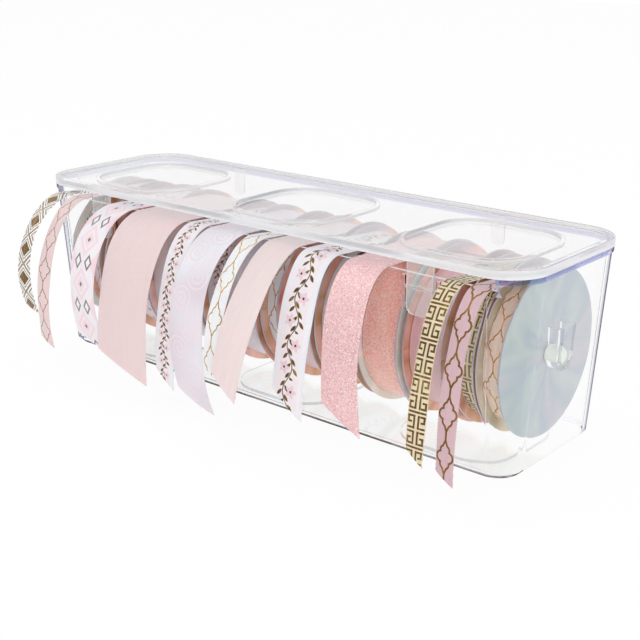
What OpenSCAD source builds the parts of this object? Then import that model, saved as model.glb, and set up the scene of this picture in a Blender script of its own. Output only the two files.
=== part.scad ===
// Clear ribbon dispenser box: a tapered box with a lift-off lid and a rod of ribbon spools inside.
// Millimetres. +X runs along the rod, -Y is the front where the ribbons come out, +Z is up.
// The origin is the middle of the face that the box stands on.

/* [Lid] */
// Length of the lid
lid_l = 330; // [315:1:350]
// Width of the lid
lid_w = 100.5; // [98:0.5:106]
// Corner radius of the lid
lid_corner_r = 22; // [18:0.5:26]
// Height of the lid's rim
lid_rim_h = 4; // [3.6:0.1:6]
// Width of the lid's raised border
lid_rim_w = 4; // [3:0.1:5]
// Thickness of the lid's plate
lid_plate_t = 2; // [1.6:0.1:2.6]
// How far the plate's top lies below the border
lid_plate_drop = 1.2; // [0.6:0.1:1.6]
// Width and length of a stacking pocket
pocket_size = 66; // [50:1:76]
// Corner radius of a stacking pocket
pocket_corner_r = 21; // [12:0.5:24]
// Depth of a stacking pocket below the plate's top
pocket_depth = 1.8; // [1.6:0.1:2.4]
// Distance between the pockets' middles
pocket_pitch = 112; // [92:1:114]

/* [Lid tabs] */
// Distance of the front tabs from the lid's middle
tab_x = 111; // [108:0.5:113]
// Width of a front tab
tab_w = 15; // [12:0.5:17]
// How far a front tab hangs below the rim
tab_h = 25; // [18:0.5:30]
// Corner radius at a tab's lower end
tab_corner_r = 4.5; // [2:0.5:5.5]
// Thickness of the tabs and skirts
tab_t = 1.3; // [1:0.1:1.6]
// Clearance between a tab or skirt and the wall beside it
tab_gap = 0.5; // [0.3:0.05:0.8]
// How far the thumb bar lies below the rim
thumb_bar_drop = 11.5; // [8:0.5:15]
// Diameter of the thumb bar
thumb_bar_d = 2; // [1.4:0.1:2.6]
// Distance of the rear tabs from the lid's middle
rear_tab_x = 93; // [60:1:110]
// Width of a rear tab
rear_tab_w = 8; // [6:0.5:12]
// How far a rear tab hangs below the rim
rear_tab_h = 15; // [10:0.5:20]
// Width of the skirts at the lid's ends
skirt_w = 52; // [30:1:56]
// How far the end skirts hang below the rim
skirt_h = 4; // [3:0.5:8]

/* [Box] */
// Height of the box from the table to its rim
box_h = 100.9; // [98:0.1:112]
// How far each wall leans in from the rim to the base
wall_taper = 6; // [5:0.5:10]
// Thickness of the walls
wall_t = 2.2; // [1.8:0.1:2.6]
// Thickness of the floor
floor_t = 2.2; // [1.6:0.1:3]
// Bevel along the bottom edge
bottom_bevel = 3; // [2:0.1:4]
// Height of the rim band
rim_band_h = 2.5; // [2:0.1:3.5]
// How far the rim band stands out from the wall
rim_step = 0.8; // [0.4:0.05:1.2]
// How far the lid reaches past the rim band
rim_reveal = 0.2; // [0:0.05:0.5]
// Gap between the lid and the rim that it sits on
lid_seat_gap = 0.1; // [0.05:0.05:0.2]
// Height of the ribbon slot under the lid
slot_h = 4.9; // [4.6:0.1:6]
// How much larger the radius of the rounded lip is than half the front panel's thickness
lip_round = 0.35; // [0.2:0.05:0.5]
// Gap between the outermost ribbon and the slot's end
slot_end_gap = 0.8; // [0.5:0.1:1.5]
// Length of the recessed front panel
panel_l = 292; // [286:1:294]
// Height where the recessed front panel starts
panel_start = 6; // [5:0.5:12]
// Height of a stacking plinth under the base
plinth_h = 1.6; // [1.2:0.1:1.8]
// Clearance between a plinth and the pocket that it stacks in
plinth_gap = 1; // [0.5:0.1:2]
// Width of a guide rib beside a front tab
rib_w = 2; // [1.4:0.1:2.4]
// How far a guide rib stands out of the front panel
rib_proud = 1.2; // [0.8:0.1:1.4]
// Length of a guide rib
rib_h = 17; // [10:0.5:24]
// Gap between a tab's edge and a guide rib
rib_gap = 1.2; // [0.6:0.1:1.6]

/* [Rod] */
// Diameter of the rod
rod_d = 8; // [6:0.2:10]
// How far the rod's axis lies below the rim
rod_drop = 46.9; // [46:0.1:48.5]
// Bevel on the rod's ends
rod_bevel = 0.8; // [0.4:0.1:1.5]
// Gap between the rod's end and the wall
rod_end_gap = 0.5; // [0.3:0.1:1]
// Clearance round the rod in its cradles and in the spools
running_gap = 0.15; // [0.1:0.05:0.25]
// Width of a cradle
cradle_w = 14; // [12:0.5:18]
// How far a cradle stands out from the end wall, at the rod
cradle_depth = 6; // [4:0.5:8]
// Height of a cradle's arms above the rod's axis
cradle_arm_h = 15; // [8:0.5:20]
// Diameter of the collars on the rod
collar_d = 10; // [9.4:0.2:13]
// Length of a collar
collar_l = 2; // [1.4:0.1:3]
// Gap on each side of a collar
collar_gap = 0.3; // [0.2:0.05:0.5]
// Clearance between a collar and the rod that it grips
collar_fit = 0.05; // [0.03:0.01:0.08]

/* [Spools and ribbons] */
// Thickness of a spool's flange
flange_t = 0.9; // [0.7:0.05:1]
// Least gap between the largest flange and the box round it
flange_gap = 0.8; // [0.5:0.1:1.5]
// Least gap between an end spool's flange and the rounded corner beside it
corner_gap = 0.35; // [0.3:0.05:0.6]
// Outer diameter of a spool's core tube
core_d = 28; // [22:1:36]
// Wall of a spool's core tube
core_wall = 2; // [1:0.1:3]
// Gap between a core tube and the roll on it
core_fit = 0.05; // [0.03:0.01:0.1]
// Thickness of a ribbon
ribbon_t = 0.5; // [0.4:0.05:0.6]
// Gap between a ribbon's edge and the flange beside it
ribbon_side_gap = 0.3; // [0.2:0.05:0.35]
// Gap between a roll's outer turn and the turn under it
turn_gap = 0.5; // [0.45:0.05:0.7]
// Gap between a ribbon end and what it rests on
rest_gap = 0.3; // [0.25:0.05:0.5]

/* [Hidden] */
$fn = 96;
OVERLAP = 1;
BEYOND = 20;

// Each spool from left to right: ribbon width, how much smaller its flange is than the largest that fits,
// how far its roll lies below the flange's edge, the space after it, and its colour. Ribbon widths and spaces
// stretch or shrink together to fill the rod
RIBBON_W = 0;
FLANGE_LESS = 1;
ROLL_DROP = 2;
SPACE_AFTER = 3;
COLOUR = 4;
SPOOLS = [
    [10, 1, 4, 2.02, "peru"],
    [10, 1, 3, 2.7, "pink"],
    [13, 2, 4, 1.1, "sienna"],
    [20, 0, 4, 1.1, "lightpink"],
    [38, 0, 3, 1.1, "mistyrose"],
    [13, 1, 4, 0.65, "seashell"],
    [23, 0, 3.5, 1.75, "lavenderblush"],
    [10, 2, 4, 1.1, "ivory"],
    [20, 0, 4, 2.2, "mistyrose"],
    [20, 1, 4, 5.4, "linen"],
    [22, 0, 3, 2.7, "lightcoral"],
    [20, 1, 4, 4.9, "thistle"],
    [10, 2, 4, 1.57, "palegoldenrod"],
    [10, 0, 4, 0, "pink"]
];

// Each hanging ribbon end: its spool, how far it runs on past the lip, its bulge and its tip, each as
// distance in front of the lip and height above the table, and how much higher the cut's left end is.
// The heights are for a lip at TAIL_LIP_Z and go up and down with it
SPOOL = 0;
RUN_ON = 1;
BULGE = 2;
TIP = 3;
CUT_RISE = 4;
TAILS = [
    [0, 18, [46, 70], [30, 31], 4],
    [1, 18, [40, 64], [32, 13], 6],
    [3, 22, [46, 70], [28, 20], 8],
    [4, 20, [38, 72], [36, 12], 13],
    [5, 15, [33, 74], [31, 12], 10],
    [6, 22, [49, 64], [28, 4], 12],
    [7, 18, [40, 66], [38, 30], 6],
    [8, 12, [37, 78], [51, 28], 12],
    [9, 14, [24, 78], [31, 19], 13],
    [10, 16, [30, 74], [23, 16], 14],
    [12, 14, [28, 76], [31, 17], 7],
    [13, 14, [27, 72], [27, 10], 6]
];
TAIL_LIP_Z = 96;
TAIL_STEPS = 22;
TURN_STEPS = 36;
TURNS_SHOWN = 1.25;
TURN_ROOT = 0.2;
TURN_HEEL = [1, 2];

// Heights
lid_z = box_h + lid_seat_gap;
band_z = box_h - rim_band_h;
lip_z = box_h - slot_h;
rod_z = box_h - rod_drop;
plate_top = lid_rim_h - lid_plate_drop;
plate_bottom = plate_top - lid_plate_t;
pocket_floor = plate_top - pocket_depth;

// Tapered walls: every side leans in by the same amount from the rim band to the base
wall_top_l = lid_l / 2 - rim_reveal - rim_step;
wall_top_w = lid_w / 2 - rim_reveal - rim_step;
wall_top_r = lid_corner_r - rim_reveal - rim_step;
slope = wall_taper / (band_z - plinth_h);
lean = atan(slope);
function outer_half_l(z) = wall_top_l - slope * (band_z - z);
function outer_half_w(z) = wall_top_w - slope * (band_z - z);
function outer_corner_r(z) = wall_top_r - slope * (band_z - z);
function inner_half_l(z) = outer_half_l(z) - wall_t;
function inner_half_w(z) = outer_half_w(z) - wall_t;
function inner_corner_r(z) = outer_corner_r(z) - wall_t;
floor_z = plinth_h + floor_t;
corner_x = wall_top_l - wall_top_r;
corner_y = wall_top_w - wall_top_r;

// The front panel is set back far enough for the tabs to hang in front of it
function panel_half_w(z) = lid_w / 2 - tab_t - tab_gap - slope * (lip_z - z);
lip_t = panel_half_w(lip_z) - inner_half_w(lip_z);
lip_r = lip_t / 2 + lip_round;
lip_y = inner_half_w(lip_z) + lip_t / 2;

// Rod, collars and the length that the spools share
rod_r = rod_d / 2;
bore_r = rod_r + running_gap;
rod_half_l = inner_half_l(rod_z - rod_r) - rod_end_gap;
cradle_x = inner_half_l(rod_z) - cradle_depth;
cradle_bottom = rod_z - cradle_w / 2;
collar_x = cradle_x - collar_gap - collar_l;
stack_half_l = collar_x - collar_gap;
slot_half_l = stack_half_l - flange_t - ribbon_side_gap + slot_end_gap;

// Spools fill the rod between the collars
function total(values, last) = last < 0 ? 0 : values[last] + total(values, last - 1);
spool_count = len(SPOOLS);
spool_sides = 2 * (ribbon_side_gap + flange_t);
drawn_l = [for (s = SPOOLS) s[RIBBON_W] + s[SPACE_AFTER]];
row_scale = (2 * stack_half_l - spool_count * spool_sides) / total(drawn_l, spool_count - 1);
function ribbon_w(i) = SPOOLS[i][RIBBON_W] * row_scale;
function spool_x(i) = -stack_half_l + i * spool_sides + row_scale * total(drawn_l, i - 1);
function ribbon_x(i) = spool_x(i) + spool_sides / 2;
room_above = lid_z + pocket_floor - lid_plate_t - rod_z;
flange_room = min(inner_half_w(rod_z) * cos(lean), rod_z - floor_z, room_above) - flange_gap;
function spool_reach(i) = max(-spool_x(i), spool_x(i) + spool_sides + ribbon_w(i));
function corner_room(i) =
    let (
        past = max(spool_reach(i) - corner_x, 0),
        r = inner_corner_r(rod_z),
        side = sqrt(r * r - past * past)
    )
    (corner_y + side) * cos(atan(slope * r / side)) - corner_gap;
function flange_r(i) = min(flange_room - SPOOLS[i][FLANGE_LESS], corner_room(i));
function roll_r(i) = flange_r(i) - SPOOLS[i][ROLL_DROP];

// Points in the plane across the rod are [y, z]
rod_centre = [0, rod_z];
function around(r, angle) = rod_centre + r * [cos(angle), sin(angle)];
function unit(v) = v / norm(v);
function reversed(list) = [for (i = [len(list) - 1 : -1 : 0]) list[i]];
function both_sides(profile, middle) = concat(
    [for (p = profile) [middle + p[0], p[1]]],
    [for (p = reversed(profile)) [-middle - p[0], p[1]]]
);
function bezier(p, t) =
    pow(1 - t, 3) * p[0] + 3 * t * pow(1 - t, 2) * p[1] + 3 * t * t * (1 - t) * p[2] + pow(t, 3) * p[3];
function beside(points, d) = [
    for (i = [0 : len(points) - 1])
        let (along = unit(points[min(i + 1, len(points) - 1)] - points[max(i - 1, 0)]))
        points[i] + d * [-along[1], along[0]]
];

// A ribbon leaves its roll on the line that touches the roll and passes over the lip
over_lip = [-lip_y, lip_z + rest_gap + ribbon_t / 2];
tail_scale = lip_z / TAIL_LIP_Z;
function lead_r(i) = roll_r(i) + rest_gap + ribbon_t / 2;
function leave_angle(i) =
    let (to_lip = over_lip - rod_centre)
    atan2(to_lip[1], to_lip[0]) - acos(lead_r(i) / norm(to_lip));
function tail_path(tail) =
    let (
        start = around(lead_r(tail[SPOOL]), leave_angle(tail[SPOOL])),
        run_on = over_lip + tail[RUN_ON] * unit(over_lip - start),
        bulge = [-lip_y - tail[BULGE][0], tail[BULGE][1] * tail_scale],
        tip = [-lip_y - tail[TIP][0], tail[TIP][1] * tail_scale],
        ends = [over_lip, run_on, bulge, tip]
    )
    concat([start], [for (k = [0 : TAIL_STEPS]) bezier(ends, k / TAIL_STEPS)]);

// The outer turn of a roll: it rises from the plain wound core and ends where the ribbon leaves
turn_pitch = ribbon_t + turn_gap;
turn_points = TURN_STEPS * TURNS_SHOWN;
function wound_r(i) = roll_r(i) - ribbon_t - turn_pitch * TURNS_SHOWN + TURN_ROOT;
function wound_edge(i) = [
    for (k = [1 : TURN_STEPS])
        around(wound_r(i), leave_angle(i) + 360 * k / TURN_STEPS)
];
function turn_edge(i, rise) = [
    for (k = [0 : turn_points])
        let (share = k / turn_points)
        around(
            wound_r(i) - TURN_ROOT + rise + turn_pitch * TURNS_SHOWN * share,
            leave_angle(i) - 360 * TURNS_SHOWN * (1 - share)
        )
];
function turn_heel(i) =
    around(wound_r(i) - TURN_HEEL[0], leave_angle(i) - 360 * TURNS_SHOWN - TURN_HEEL[1]);
overlap_points = turn_points - TURN_STEPS;
least_turn_gap = min([
    for (i = [0 : spool_count - 1])
        let (under = turn_edge(i, ribbon_t), over = turn_edge(i, 0))
        for (a = [0 : overlap_points], b = [0 : overlap_points])
            norm(over[turn_points - a] - under[b])
]);
echo(least_turn_gap = least_turn_gap);

// Node names
function number(i) = i + 1 < 10 ? str("0", i + 1) : str(i + 1);
function flanges_node(i) = str("spool_", number(i), "_flanges");
function core_node(i) = str("spool_", number(i), "_core");
function roll_node(i) = str("ribbon_", number(i), "_roll");
function tail_node(tail) = str("ribbon_", number(tail[SPOOL]), "_tail");

// Flat shapes
module rounded_rect(l, w, r) {
    square([l - 2 * r, w], center = true);
    square([l, w - 2 * r], center = true);
    for (x = [-1, 1], y = [-1, 1])
        translate([x * (l / 2 - r), y * (w / 2 - r)])
            circle(r);
}

module tongue(w, h, r) {
    translate([-w / 2, -h + r])
        square([w, h - r + plate_bottom]);
    translate([-w / 2 + r, -h])
        square([w - 2 * r, h]);
    for (x = [-1, 1])
        translate([x * (w / 2 - r), -h + r])
            circle(r);
}

module pocket_row(size, r) {
    for (k = [-1 : 1])
        translate([k * pocket_pitch, 0])
            rounded_rect(size, size, r);
}

// Carries a shape drawn in [y, z] along X
module across(x, l) {
    translate([x, 0, 0])
        rotate([90, 0, 90])
            linear_extrude(l)
                children();
}

// Carries a shape drawn in [x, z] along Y, from y towards the front
module frontwards(y, t) {
    translate([0, y, 0])
        rotate([90, 0, 0])
            linear_extrude(t)
                children();
}

// Places a shape on the leaning front panel, with its own y = 0 on the panel's face
module on_front_panel() {
    translate([0, -panel_half_w(0), 0])
        rotate([lean, 0, 0])
            children();
}

// A block with leaning sides and rounded corners, from a list of [corner radius, height] going upwards
module tapered_block(profile) {
    z0 = profile[0][1];
    z1 = profile[len(profile) - 1][1];
    across(-corner_x, 2 * corner_x)
        polygon(both_sides(profile, corner_y));
    frontwards(corner_y, 2 * corner_y)
        polygon(both_sides(profile, corner_x));
    for (x = [0, 1], y = [0, 1])
        mirror([x, 0, 0])
            mirror([0, y, 0])
                translate([corner_x, corner_y, 0])
                    rotate_extrude(angle = 90)
                        polygon(concat([[0, z0]], profile, [[0, z1]]));
}

// Box body
module shell() {
    bevel_z = plinth_h + bottom_bevel;
    difference() {
        tapered_block([
            [outer_corner_r(plinth_h) - bottom_bevel, plinth_h],
            [outer_corner_r(bevel_z), bevel_z],
            [outer_corner_r(box_h), box_h]
        ]);
        tapered_block([
            [inner_corner_r(floor_z), floor_z],
            [inner_corner_r(box_h + OVERLAP), box_h + OVERLAP]
        ]);
        on_front_panel()
            translate([-panel_l / 2, -BEYOND, panel_start])
                cube([panel_l, BEYOND, box_h]);
        across(-slot_half_l, 2 * slot_half_l)
            difference() {
                translate([-lid_w, lip_z - lip_r])
                    square([lid_w, box_h]);
                translate([-lip_y, lip_z - lip_r])
                    circle(lip_r);
            }
    }
}

module rim_band() {
    translate([0, 0, band_z])
        linear_extrude(rim_band_h)
            difference() {
                rounded_rect(
                    2 * (wall_top_l + rim_step),
                    2 * (wall_top_w + rim_step),
                    wall_top_r + rim_step
                );
                rounded_rect(
                    2 * inner_half_l(band_z) + wall_t,
                    2 * inner_half_w(band_z) + wall_t,
                    inner_corner_r(band_z) + wall_t / 2
                );
                translate([-slot_half_l, -lid_w])
                    square([2 * slot_half_l, lid_w]);
            }
}

module cradle() {
    wall_bottom = inner_half_l(cradle_bottom) + wall_t / 2;
    wall_top = inner_half_l(rod_z + cradle_arm_h) + wall_t / 2;
    arm_top = rod_z + cradle_arm_h;
    difference() {
        intersection() {
            across(cradle_x, BEYOND) {
                translate(rod_centre)
                    circle(d = cradle_w);
                translate([-cradle_w / 2, rod_z])
                    square([cradle_w, cradle_arm_h]);
            }
            frontwards(cradle_w, 2 * cradle_w)
                polygon([
                    [cradle_x, cradle_bottom],
                    [wall_bottom, cradle_bottom],
                    [wall_top, arm_top],
                    [cradle_x, arm_top]
                ]);
        }
        across(cradle_x - OVERLAP, wall_top - cradle_x + 2 * OVERLAP) {
            translate(rod_centre)
                circle(bore_r);
            translate([-bore_r, rod_z])
                square([2 * bore_r, cradle_arm_h + OVERLAP]);
        }
    }
}

module guide_ribs() {
    rib_top = lip_z - lip_t;
    for (side = [-1, 1], edge = [-1, 1])
        on_front_panel()
            translate([
                side * tab_x + edge * (tab_w / 2 + rib_gap + rib_w / 2) - rib_w / 2,
                -rib_proud,
                rib_top - rib_h
            ])
                cube([rib_w, rib_proud + lip_r, rib_h]);
}

module box_body() {
    color("lightcyan", 0.35) {
        shell();
        rim_band();
        cradle();
        mirror([1, 0, 0])
            cradle();
        guide_ribs();
        linear_extrude(plinth_h + floor_t / 2)
            pocket_row(pocket_size - 2 * plinth_gap, pocket_corner_r - plinth_gap);
    }
}

// Lid, drawn from the underside of its rim upwards
module lid() {
    tub_size = pocket_size + 2 * lid_plate_t;
    tub_r = pocket_corner_r + lid_plate_t;
    tub_bottom = pocket_floor - lid_plate_t;
    rear_tab_y = inner_half_w(lid_z - rear_tab_h) - tab_gap;
    skirt_x = inner_half_l(lid_z - skirt_h) - tab_gap - tab_t;
    color("azure", 0.45)
        translate([0, 0, lid_z]) {
            difference() {
                union() {
                    linear_extrude(lid_rim_h)
                        rounded_rect(lid_l, lid_w, lid_corner_r);
                    translate([0, 0, tub_bottom])
                        linear_extrude(plate_top - tub_bottom)
                            pocket_row(tub_size, tub_r);
                }
                translate([0, 0, plate_top])
                    linear_extrude(lid_rim_h)
                        lid_inside();
                translate([0, 0, tub_bottom - OVERLAP])
                    linear_extrude(plate_bottom - tub_bottom + OVERLAP)
                        difference() {
                            lid_inside();
                            pocket_row(tub_size, tub_r);
                        }
                translate([0, 0, pocket_floor])
                    linear_extrude(lid_rim_h)
                        pocket_row(pocket_size, pocket_corner_r);
            }
            for (side = [-1, 1]) {
                translate([side * tab_x, 0, 0]) {
                    frontwards(tab_t - lid_w / 2, tab_t)
                        tongue(tab_w, tab_h, tab_corner_r);
                    translate([-tab_w / 2, -lid_w / 2, -thumb_bar_drop])
                        rotate([0, 90, 0])
                            cylinder(h = tab_w, d = thumb_bar_d);
                }
                translate([side * rear_tab_x, 0, 0])
                    frontwards(rear_tab_y, tab_t)
                        tongue(rear_tab_w, rear_tab_h, rear_tab_w / 2 - tab_t);
                translate([side > 0 ? skirt_x : -skirt_x - tab_t, -skirt_w / 2, -skirt_h])
                    cube([tab_t, skirt_w, skirt_h + plate_bottom]);
            }
        }
}

module lid_inside() {
    rounded_rect(lid_l - 2 * lid_rim_w, lid_w - 2 * lid_rim_w, lid_corner_r - lid_rim_w);
}

// Rod and collars
module spindle_rod() {
    color("honeydew")
        translate([0, 0, rod_z])
            rotate([0, 90, 0])
                rotate_extrude()
                    polygon([
                        [0, -rod_half_l],
                        [rod_r - rod_bevel, -rod_half_l],
                        [rod_r, -rod_half_l + rod_bevel],
                        [rod_r, rod_half_l - rod_bevel],
                        [rod_r - rod_bevel, rod_half_l],
                        [0, rod_half_l]
                    ]);
}

module rod_collars() {
    color("honeydew")
        for (x = [-collar_x - collar_l, collar_x])
            across(x, collar_l)
                translate(rod_centre)
                    difference() {
                        circle(d = collar_d);
                        circle(rod_r + collar_fit);
                    }
}

// Spools
module spool_flanges(i) {
    right_x = ribbon_x(i) + ribbon_w(i) + ribbon_side_gap;
    color("lightsteelblue")
        for (x = [spool_x(i), right_x])
            across(x, flange_t)
                translate(rod_centre)
                    difference() {
                        circle(flange_r(i));
                        circle(bore_r);
                    }
}

module spool_core(i) {
    color("silver")
        across(spool_x(i) + flange_t, ribbon_w(i) + 2 * ribbon_side_gap)
            translate(rod_centre)
                difference() {
                    circle(d = core_d);
                    circle(d = core_d - 2 * core_wall);
                }
}

module ribbon_roll(i) {
    color(SPOOLS[i][COLOUR])
        across(ribbon_x(i), ribbon_w(i))
            difference() {
                union() {
                    polygon(wound_edge(i));
                    polygon(concat(turn_edge(i, ribbon_t), reversed(turn_edge(i, 0)), [turn_heel(i)]));
                }
                translate(rod_centre)
                    circle(d = core_d + 2 * core_fit);
            }
}

// A hanging end: a bent strip, cut off on the slant
module ribbon_tail(tail) {
    i = tail[SPOOL];
    path = tail_path(tail);
    left = ribbon_x(i);
    right = left + ribbon_w(i);
    tip_z = tail[TIP][1] * tail_scale;
    color(SPOOLS[i][COLOUR])
        intersection() {
            across(left, ribbon_w(i))
                polygon(concat(beside(path, ribbon_t / 2), reversed(beside(path, -ribbon_t / 2))));
            frontwards(lid_w, 3 * lid_w)
                polygon([
                    [left - OVERLAP, tip_z + tail[CUT_RISE]],
                    [right, tip_z],
                    [right + OVERLAP, tip_z],
                    [right + OVERLAP, box_h + BEYOND],
                    [left - OVERLAP, box_h + BEYOND]
                ]);
        }
}

box_body();
lid();
spindle_rod();
rod_collars();
for (i = [0 : spool_count - 1]) {
    spool_flanges(i);
    spool_core(i);
    ribbon_roll(i);
}
for (tail = TAILS)
    ribbon_tail(tail);
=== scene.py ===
"""Looks of the clear ribbon dispenser box: moulded plastic, foil-covered spools and printed ribbons."""

import math

import bpy
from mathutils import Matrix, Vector


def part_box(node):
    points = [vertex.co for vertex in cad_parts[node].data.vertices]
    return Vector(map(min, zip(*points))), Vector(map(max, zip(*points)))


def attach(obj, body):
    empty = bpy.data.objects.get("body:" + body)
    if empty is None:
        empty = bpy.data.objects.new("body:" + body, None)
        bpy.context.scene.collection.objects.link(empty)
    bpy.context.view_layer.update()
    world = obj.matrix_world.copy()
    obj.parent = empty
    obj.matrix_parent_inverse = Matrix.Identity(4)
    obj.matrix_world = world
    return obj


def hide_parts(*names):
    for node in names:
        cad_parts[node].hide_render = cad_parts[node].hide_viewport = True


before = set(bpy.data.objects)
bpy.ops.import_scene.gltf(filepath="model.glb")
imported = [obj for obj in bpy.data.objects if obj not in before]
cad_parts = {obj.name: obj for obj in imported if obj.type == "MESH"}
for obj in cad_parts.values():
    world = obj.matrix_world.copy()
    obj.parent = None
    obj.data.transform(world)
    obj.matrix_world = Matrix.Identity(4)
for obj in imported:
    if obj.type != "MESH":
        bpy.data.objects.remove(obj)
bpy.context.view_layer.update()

MM = 0.001
SPOOLS = range(1, 15)

# The photograph's view, in metres, with the lens in millimetres
CAMERA_PLACE = (0.4091, -0.4750, 0.2499)
CAMERA_AIM = (0.0096, 0, 0.0391)
CAMERA_LENS = 66.76

# The floor's size and drop below the object in metres, its share of white glow as it lights the object and
# as it is seen, how strong that glow and the light all round are, and where the lamps point
FLOOR_SIZE = 6
FLOOR_DROP = 0.0002
FLOOR_GLOW = 0.7
FLOOR_SEEN = 0.93
FLOOR_STRENGTH = 1.012
WORLD_STRENGTH = 0.74
LAMPS_AIM = (0, 0, 0.05)

# Places on the solids that the finishes follow, and how far edges are rounded, in millimetres
ROD_Z = 54
PLINTH_H = 1.6
SLOT_X = 150
SLOT_END = 0.6
SLOT_Y = -40
SLOT_LOW_Z = 70
CRADLE_X = (151, 158)
CRADLE_Y = 8
CRADLE_Z = (40, 75)
CRADLE_TOP_Z = 65
CORNER_X = 140
RIM_Z = 98.3
LID_Z = 101
BOX_EDGE = 0.5
LID_EDGE = 0.45
# Height above the rod where the foil's painted top shade starts, and how soft that step is
PAINTED_TOP_SHADE_FROM = 38
PAINTED_TOP_SHADE_BLUR = 3

# Angles in degrees: facets that count as one flat, edges that are rounded, and edges that are shaded smooth
FLAT_WITHIN = 0.4
ROUNDED_ABOVE = 28
SMOOTH_WITHIN = 35
CLOTH_SMOOTH_WITHIN = 40

# The clear plastic: how far it bends light, the thin film on it, its shade, the painted dark shade where it
# is seen along its surface, and how far a surface has turned away when that painted shade starts
BOX_BENDING = 1.45
LID_BENDING = 1.4
FILM_NANOMETRES = 430
FILM_BENDING = 1.3
SHADOW_SHADE = (0.97, 0.975, 0.98, 1)
CLEAR_SHADE = (0.995, 0.997, 1, 1)
EDGE_ON_PAINTED_SHADE = (0.4, 0.42, 0.6, 1)
CORNER_PAINTED_SHADE = (0.16, 0.16, 0.38, 1)
EDGE_ON_FROM = 0.76
EDGE_ON_BLUR = 0.28
EDGE_ON_SHARE = 0.9

# The box's finishes in the order of their material slots, and the slot of the lid's sides
# The grey, rim and edge finishes are painted shade, and the wall and corner finishes darken edge-on with
# painted shade
CLEAR, WALL, MATT, GREY, RIM, CORNER, EDGE = range(7)
LID_SIDE = 1

# The ribbons, with lengths in millimetres: the lip that they run over, their thickness and their winding
LIP_Y = 47.68
OVER_LIP = (-LIP_Y, 96.55)
CORE_R = 14.05
RIBBON_T = 0.3
LEAD_GAP = 0.55
TURNS = 2.25
TURN_PITCH = 0.75
UNDER_TURNS = 0.1
STEPS_A_TURN = 96
WARP_PITCH = 0.32

# The mesh of a hanging end, with lengths in millimetres: its columns, its rows and the band above its cut
LEAST_COLUMNS = 9
COLUMN_WIDTH = 1.2
ROW_STEP = 1.4
PICOT_STEP = 0.8
PICOT_DEPTH = 0.35
CUT_BAND = 6
CUT_ROWS = 6

# Where a hanging end starts to curl, over which length it comes to curl fully, and how its edges waver
CURL_FROM = 45
CURL_OVER = 50
CUP_MIDDLE = 0.33
WAVER = 0.35
WAVER_LENGTH = 9

# How far each roll lies below its flanges' edge, from left to right
ROLL_DROP = [4, 3, 4, 4, 3, 4, 3.5, 4, 4, 4, 3, 4, 4, 4]

# Each hanging end: its spool, how far it runs on past the lip, its bulge and its tip, each as distance in
# front of the lip and height above the table, how much higher the cut's left end is, and how far it cups
TAILS = [
    (1, 18, (46, 70), (30, 31), 4, 0.4),
    (2, 18, (40, 64), (32, 13), 6, 0.4),
    (4, 22, (46, 70), (28, 20), 8, 0.7),
    (5, 20, (38, 72), (36, 12), 13, 0.9),
    (6, 15, (33, 74), (31, 12), 10, 0.5),
    (7, 22, (49, 64), (28, 4), 12, 0.8),
    (8, 18, (40, 66), (38, 30), 6, 0.4),
    (9, 12, (37, 78), (51, 28), 12, 0.8),
    (10, 14, (24, 78), (31, 19), 13, 0.7),
    (11, 16, (30, 74), (23, 16), 14, 0.6),
    (13, 14, (28, 76), (31, 17), 7, 0.3),
    (14, 14, (27, 72), (27, 10), 6, 0.3),
]
PICOT_EDGES = (9, 13, 14)


# View, floor and light


def place_camera():
    bpy.ops.object.camera_add(location=CAMERA_PLACE)
    camera = bpy.context.object
    camera.name = "photo_view"
    towards = Vector(CAMERA_AIM) - camera.location
    camera.rotation_euler = towards.to_track_quat("-Z", "Y").to_euler()
    camera.data.sensor_width = 36
    camera.data.lens = CAMERA_LENS
    camera.data.clip_start = 0.01
    bpy.context.scene.camera = camera


def seen_directly(tree):
    """1 for rays that show the background: straight from the camera, off a gloss or through the plastic."""
    path = tree.nodes.new("ShaderNodeLightPath")
    first = tree.nodes.new("ShaderNodeMath")
    first.operation = "MAXIMUM"
    tree.links.new(path.outputs["Is Camera Ray"], first.inputs[0])
    tree.links.new(path.outputs["Is Glossy Ray"], first.inputs[1])
    both = tree.nodes.new("ShaderNodeMath")
    both.operation = "MAXIMUM"
    tree.links.new(first.outputs[0], both.inputs[0])
    tree.links.new(path.outputs["Is Transmission Ray"], both.inputs[1])
    return both.outputs[0]


def dark_in_front(tree, coordinates, towards, start, end, dark):
    """White, but dark towards the front in reflections, as under a lamp with a dark room before it."""
    place = tree.nodes.new("ShaderNodeTexCoord")
    front = tree.nodes.new("ShaderNodeVectorMath")
    front.operation = "DOT_PRODUCT"
    front.inputs[1].default_value = towards
    tree.links.new(place.outputs[coordinates], front.inputs[0])
    ramp = tree.nodes.new("ShaderNodeValToRGB")
    tree.links.new(front.outputs["Value"], ramp.inputs["Fac"])
    ramp.color_ramp.elements[0].position = start
    ramp.color_ramp.elements[0].color = (1, 1, 1, 1)
    ramp.color_ramp.elements[1].position = end
    ramp.color_ramp.elements[1].color = dark
    path = tree.nodes.new("ShaderNodeLightPath")
    pick = tree.nodes.new("ShaderNodeMix")
    pick.data_type = "RGBA"
    tree.links.new(path.outputs["Is Glossy Ray"], pick.inputs[0])
    pick.inputs[6].default_value = (1, 1, 1, 1)
    tree.links.new(ramp.outputs["Color"], pick.inputs[7])
    return pick.outputs[2]


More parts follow.
